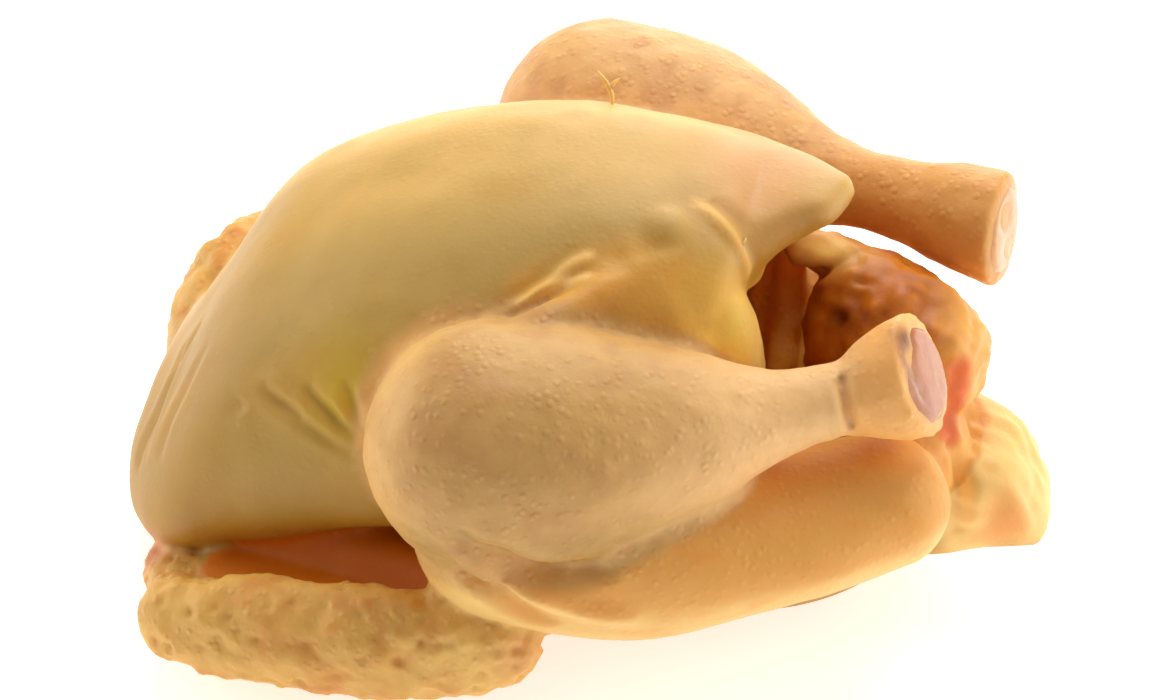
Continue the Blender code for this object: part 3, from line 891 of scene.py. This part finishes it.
def hock_stains(places):
    """Pairs of an amount from 0 to 1 and a colour, for points in the bird's own numbers."""
    groove = from_path(places, smooth_path(GROOVE_PATH))[0]
    return (
        (0.8 * np.exp(-((groove / 2) ** 2)), linear(172, 108, 74)),
        (0.6 * blob(places, (82.8, -38.5, 87.5), (4, 4, 5)), linear(192, 128, 96)),
        (0.9 * blob(places, (76.2, -35.6, 102), (3.6, 3.6, 3)), linear(118, 56, 28)),
    )


# %% [markdown]
# The colour alone doesn't say how a place feels. A second set of numbers on the mesh tells the material how
# coarse the goose bumps are, how wet the surface is and how blotchy.

# %% Store tint and feel
goose = 0.25 * breast + parts["drumstick"] + 0.7 * parts["thigh"] + 1.3 * parts["wing"] + 0.3 * parts["tail"]
wet = 0.25 + 0.5 * parts["cavity"] + 0.1 * parts["fat"] + 0.2 * breast * blob(points, *PALE_TIP)
blotchy = 0.3 + 0.5 * parts["drumstick"] + 0.5 * parts["wing"] + 0.4 * parts["fat"]


def store(obj, name, values):
    """Four numbers a point, as a colour layer of the mesh."""
    layer = obj.data.attributes.new(name, "FLOAT_COLOR", "POINT")
    values = np.column_stack([values, np.ones(len(values))])
    layer.data.foreach_set("color", values.astype(np.float32).ravel())


for amount, colour in hock_stains(points):
    blend_in(amount, colour)
store(skin, "tint", np.clip(tint, 0, 1))
store(skin, "feel", np.clip(np.column_stack([goose, wet, blotchy]) / 1.5, 0, 1))
print("tints from", np.round(tint.min(axis=0), 2), "to", np.round(tint.max(axis=0), 2))

# %% [markdown]
# ## Skin material
# Raw skin lets light in and lets it out again a few millimetres on, warmer: subsurface scattering. On top lies
# a thin film of moisture. Goose bumps are cells of a Voronoi pattern, paler on their tops, and finer noise gives
# the pores between them. All the patterns read Object coordinates, in metres.

# %% A helper for nodes
def add_node(tree, kind, settings=(), sockets=(), links=()):
    """A node, its settings, its sockets' own values, and the outputs that are linked into it."""
    node = tree.nodes.new(kind)
    for name, value in settings:
        setattr(node, name, value)
    for key, value in sockets:
        node.inputs[key].default_value = value
    for key, output in links:
        tree.links.new(output, node.inputs[key])
    return node


def range_node(tree, value, low, high, to_low, to_high):
    """Maps low..high to to_low..to_high, held at both ends."""
    node = add_node(
        tree, "ShaderNodeMapRange",
        sockets=(("From Min", low), ("From Max", high), ("To Min", to_low), ("To Max", to_high)),
        links=(("Value", value),),
    )
    return node.outputs[0]


def product(tree, first, second):
    node = add_node(
        tree, "ShaderNodeMath", settings=(("operation", "MULTIPLY"),), links=((0, first), (1, second))
    )
    return node.outputs[0]


def mixed(tree, factor, first, second, blend="MIX"):
    """A colour mix; a factor, first or second may be an output or a plain value."""
    node = add_node(tree, "ShaderNodeMix", settings=(("data_type", "RGBA"), ("blend_type", blend)))
    for key, value in ((0, factor), (6, first), (7, second)):
        if isinstance(value, bpy.types.NodeSocket):
            tree.links.new(value, node.inputs[key])
        else:
            node.inputs[key].default_value = value
    return node.outputs[2]


# %% Make the skin's material
def skin_material():
    material = bpy.data.materials.new("raw_skin")
    material.use_nodes = True
    tree = material.node_tree
    shader = tree.nodes["Principled BSDF"]
    place = add_node(tree, "ShaderNodeTexCoord").outputs["Object"]
    colour = add_node(tree, "ShaderNodeAttribute", settings=(("attribute_name", "tint"),)).outputs["Color"]
    feel = add_node(tree, "ShaderNodeAttribute", settings=(("attribute_name", "feel"),)).outputs["Color"]
    split = add_node(tree, "ShaderNodeSeparateColor", links=((0, feel),))
    coarse, moist, blotched = split.outputs

    cells = add_node(tree, "ShaderNodeTexVoronoi", sockets=(("Scale", 430), ("Randomness", 1)),
                     links=(("Vector", place),)).outputs["Distance"]
    pores = add_node(tree, "ShaderNodeTexNoise", sockets=(("Scale", 1100), ("Detail", 3)),
                     links=(("Vector", place),)).outputs[0]
    patches = add_node(tree, "ShaderNodeTexNoise", sockets=(("Scale", 130), ("Detail", 4), ("Roughness", 0.6)),
                       links=(("Vector", place),)).outputs[0]
    bumps = range_node(tree, cells, 0.05, 0.45, 1, 0)
    bumps = product(tree, bumps, range_node(tree, patches, 0.38, 0.6, 0.2, 1))

    shade = range_node(tree, patches, 0.3, 0.7, 0, 1)
    colour = mixed(tree, product(tree, shade, blotched), colour, (0.80, 0.72, 0.62, 1), "MULTIPLY")
    colour = mixed(tree, product(tree, bumps, coarse), colour, (1.09, 1.09, 1.13, 1), "MULTIPLY")
    tree.links.new(colour, shader.inputs["Base Color"])

    goose_bumps = add_node(tree, "ShaderNodeBump", sockets=(("Distance", 0.0004),),
                           links=(("Height", bumps), ("Strength", coarse)))
    pore_bumps = add_node(tree, "ShaderNodeBump", sockets=(("Distance", 0.0003), ("Strength", 0.25)),
                          links=(("Height", pores), ("Normal", goose_bumps.outputs[0])))
    tree.links.new(pore_bumps.outputs[0], shader.inputs["Normal"])
    tree.links.new(range_node(tree, moist, 0.1, 0.7, 0.55, 0.2), shader.inputs["Roughness"])
    shader.inputs["Subsurface Weight"].default_value = 0.4
    shader.inputs["Subsurface Radius"].default_value = (1, 0.5, 0.22)
    shader.inputs["Subsurface Scale"].default_value = 0.005
    shader.inputs["Specular IOR Level"].default_value = 0.4
    return material


skin.data.materials.clear()
skin.data.materials.append(skin_material())

# %% [markdown]
# ## Cut hocks
# Both legs were cut through the hock joint. A cut end shows no skin but a cap of wet cartilage, with a pit
# where the tendons ran. Each cap follows the limb's own end, a little outside it, and dips into the flesh at
# its rim. A dent is a place across and up the end, in half sizes, with its width and how far it sinks.

# %% Cartilage caps
def cut_cap(limb, dents, reach=0.86, proud=0.5, depth=2.5):
    """Front: the limb's end plane, domed by caps sqrt(1 - r^2), with bell curves as dents. Back: flat, inside.
    The first half of the share runs out from the middle over the front, the second half back behind it."""

    def surface(share, angle):
        front = share < 0.5
        r = np.where(front, 2 * share, 2 - 2 * share)
        ends = np.ones(1)
        centre, tangent = limb_centre(limb, ends)
        side, rise = limb_sides(tangent)
        half_width, half_height = (size[0] for size in limb_size(limb, ends))
        x, y = reach * r * np.cos(angle), reach * r * np.sin(angle)
        lean = limb.slant[0] * half_width * x + limb.slant[1] * half_height * y
        dome = limb.caps[1] * (half_width + half_height) / 2 * np.sqrt(1 - (reach * r) ** 2)
        rim = smooth_step(0.75, 1, r)
        ahead = lean + dome + proud * (1 - 3 * rim)
        for dent_x, dent_y, size, sink in dents:
            ahead = ahead - sink * np.exp(-((x - dent_x) ** 2 + (y - dent_y) ** 2) / size**2)
        ahead = np.where(front, ahead, lean - depth)
        return (centre + tangent * ahead[:, None] + side * (half_width * x)[:, None]
                + rise * (half_height * y)[:, None])

    return surface


def cartilage_material(name, scale):
    """Wet and half clear, in the mesh's own tint, with darker veins from noise."""
    material = bpy.data.materials.new(name)
    material.use_nodes = True
    tree = material.node_tree
    shader = tree.nodes["Principled BSDF"]
    place = add_node(tree, "ShaderNodeTexCoord").outputs["Object"]
    veins = add_node(tree, "ShaderNodeTexNoise", sockets=(("Scale", scale), ("Detail", 4), ("Distortion", 0.6)),
                     links=(("Vector", place),)).outputs[0]
    colour = add_node(tree, "ShaderNodeAttribute", settings=(("attribute_name", "tint"),)).outputs["Color"]
    amount = range_node(tree, veins, 0.45, 0.7, 0, 0.6)
    tree.links.new(mixed(tree, amount, colour, (0.8, 0.68, 0.6, 1), "MULTIPLY"), shader.inputs["Base Color"])
    relief = add_node(tree, "ShaderNodeBump", sockets=(("Distance", 0.0004), ("Strength", 0.5)),
                      links=(("Height", veins),))
    tree.links.new(relief.outputs[0], shader.inputs["Normal"])
    shader.inputs["Roughness"].default_value = 0.25
    shader.inputs["Subsurface Weight"].default_value = 0.5
    shader.inputs["Subsurface Radius"].default_value = (1, 0.6, 0.4)
    shader.inputs["Subsurface Scale"].default_value = 0.003
    return material


def make_cap(name, limb, base, dents, stains=None):
    """The cap, in its base tint, with what the stains' function of place gives over it."""
    verts, faces = closed_grid(cut_cap(limb, dents), rings=48, spokes=72)
    cap = mesh_object(name, placed(verts), faces)
    colours = np.tile(base, (len(verts), 1))
    for amount, colour in stains(verts) if stains else ():
        colours = colours + amount[:, None] * (colour - colours)
    store(cap, "tint", colours)
    cap.data.shade_smooth()
    cap.data.materials.append(CARTILAGE)
    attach(cap, "root")
    return cap


CARTILAGE = cartilage_material("cartilage", 260)
RIGHT_DENTS = (
    (0, 0.72, 0.16, 1.4), (0.25, 0.58, 0.16, 0.8), (0.45, 0.36, 0.16, 0.8), (0.5, 0.05, 0.16, 0.7),
)
LEFT_DENTS = ((0.1, 0.35, 0.25, 1.2), (0, -0.3, 0.3, 0.8))
make_cap("right_hock_cartilage", RIGHT_HOCK, linear(196, 122, 68), RIGHT_DENTS, stains=hock_stains)
make_cap("left_hock_cartilage", LEFT_DRUMSTICK, linear(228, 166, 104), LEFT_DENTS)

# %% [markdown]
# ## Threads of skin
# Where feathers were pulled or skin was cut, a few threads stand up. Each is a thin tube along a short path,
# thickest at its root.

# %% Threads
THREADS = (
    (((-9.8, 29.6, 114.7), (-10.1, 31, 116.5), (-11.8, 32.8, 119.2), (-14.8, 34.4, 122)), 0.75),
    (((-11, 32, 117.8), (-10.4, 33, 119), (-8.7, 34.4, 120.4)), 0.6),
    (((33.6, -17.4, 113), (33.2, -18.8, 112.2), (32.3, -20, 110.8)), 0.4),
)


def thread_surface(places, radius):
    """centre(share) + r (cos v side + sin v rise), the radius going to zero at both ends as a sine's root."""

    def surface(share, angle):
        path = smooth_path(places, count=30)
        where = share * (len(path) - 1)
        centre = np.stack([np.interp(where, np.arange(len(path)), column) for column in path.T], axis=1)
        tangent = np.gradient(path, axis=0)
        tangent = np.stack([np.interp(where, np.arange(len(path)), column) for column in tangent.T], axis=1)
        tangent /= np.linalg.norm(tangent, axis=1)[:, None]
        side = np.cross(tangent, (0.3, 0.9, 0.1))
        side /= np.linalg.norm(side, axis=1)[:, None]
        rise = np.cross(side, tangent)
        thick = radius * np.sqrt(np.sin(np.pi * share)) * (1.2 - 0.6 * share)
        return (centre + side * (thick * np.cos(angle))[:, None] + rise * (thick * np.sin(angle))[:, None])

    return surface


grids = [closed_grid(thread_surface(*thread), rings=24, spokes=10) for thread in THREADS]
thread_verts, thread_faces = gathered(grids)
threads = mesh_object("skin_threads", placed(thread_verts), thread_faces)
threads.data.shade_smooth()
store(threads, "tint", np.tile(linear(240, 190, 110), (len(thread_verts), 1)))
threads.data.materials.append(cartilage_material("thread_skin", 400))
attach(threads, "root")
print("threads:", len(THREADS))

# %% [markdown]
# ## Table, light and camera
# The bird lies on a pale surface that is lit from all round and glows a little itself, as a light table does.
# So the bird's edges are bright, it throws hardly a shadow, and the side towards the camera is the darkest.

# %% Floor
def floor_material():
    material = bpy.data.materials.new("pale_floor")
    material.use_nodes = True
    shader = material.node_tree.nodes["Principled BSDF"]
    shader.inputs["Base Color"].default_value = (0.93, 0.93, 0.93, 1)
    shader.inputs["Roughness"].default_value = 0.9
    shader.inputs["Emission Color"].default_value = (1, 1, 1, 1)
    shader.inputs["Emission Strength"].default_value = 0.6
    return material


def make_floor(radius=3.0, spokes=96):
    """A flat disc just under the bird."""
    angle = np.arange(spokes) * 2 * np.pi / spokes
    rim = np.stack([np.cos(angle), np.sin(angle), np.zeros(spokes)], axis=1) * radius / UNIT
    verts = np.concatenate([[[0, 0, 0]], rim]) - (0, 0, 0.0002 / UNIT)
    ring = 1 + np.arange(spokes)
    faces = np.stack([np.zeros(spokes, int), ring, np.roll(ring, -1)], axis=1)
    floor = mesh_object("floor", verts, faces)
    floor.data.materials.append(floor_material())
    return floor


make_floor()

# %% Lights
def soft_light(name, place, aim, size, watts, colour=(1, 1, 1)):
    data = bpy.data.lights.new(name, "AREA")
    data.shape = "DISK"
    data.size = size
    data.energy = watts
    data.color = colour
    light = bpy.data.objects.new(name, data)
    light.location = place
    light.rotation_euler = (Vector(aim) - Vector(place)).to_track_quat("-Z", "Y").to_euler()
    bpy.context.scene.collection.objects.link(light)
    return light


soft_light("overhead", place=(0.05, 0.45, 1.0), aim=(0, 0, 0.03), size=1.0, watts=9)
soft_light("behind", place=(0, 1.3, 0.45), aim=(0, 0, 0.05), size=1.2, watts=9)
soft_light("head_end", place=(-1.2, 0.1, 0.45), aim=(0, 0, 0.05), size=1.0, watts=6)
soft_light("tail_end", place=(1.2, 0.2, 0.4), aim=(0, 0, 0.05), size=1.0, watts=6)

world = bpy.data.worlds.new("studio")
world.use_nodes = True
world.node_tree.nodes["Background"].inputs["Color"].default_value = (1, 1, 1, 1)
world.node_tree.nodes["Background"].inputs["Strength"].default_value = 0.3
bpy.context.scene.world = world

# %% Camera
CAMERA_TARGET = Vector(placed((-13, 0, 57)) * UNIT)
CAMERA_AZIMUTH, CAMERA_ELEVATION = np.radians((12, 38))
CAMERA_DISTANCE = 1000 * UNIT
CAMERA_LENS = 119.7

back = Vector((
    np.sin(CAMERA_AZIMUTH) * np.cos(CAMERA_ELEVATION),
    -np.cos(CAMERA_AZIMUTH) * np.cos(CAMERA_ELEVATION),
    np.sin(CAMERA_ELEVATION),
))
camera_data = bpy.data.cameras.new("camera")
camera_data.lens = CAMERA_LENS
camera_data.sensor_width = 36
camera_data.clip_start = 0.01
camera = bpy.data.objects.new("camera", camera_data)
camera.location = CAMERA_TARGET + back * CAMERA_DISTANCE
camera.rotation_euler = (-back).to_track_quat("-Z", "Y").to_euler()
bpy.context.scene.collection.objects.link(camera)
bpy.context.scene.camera = camera
bpy.context.scene.view_settings.view_transform = "Standard"
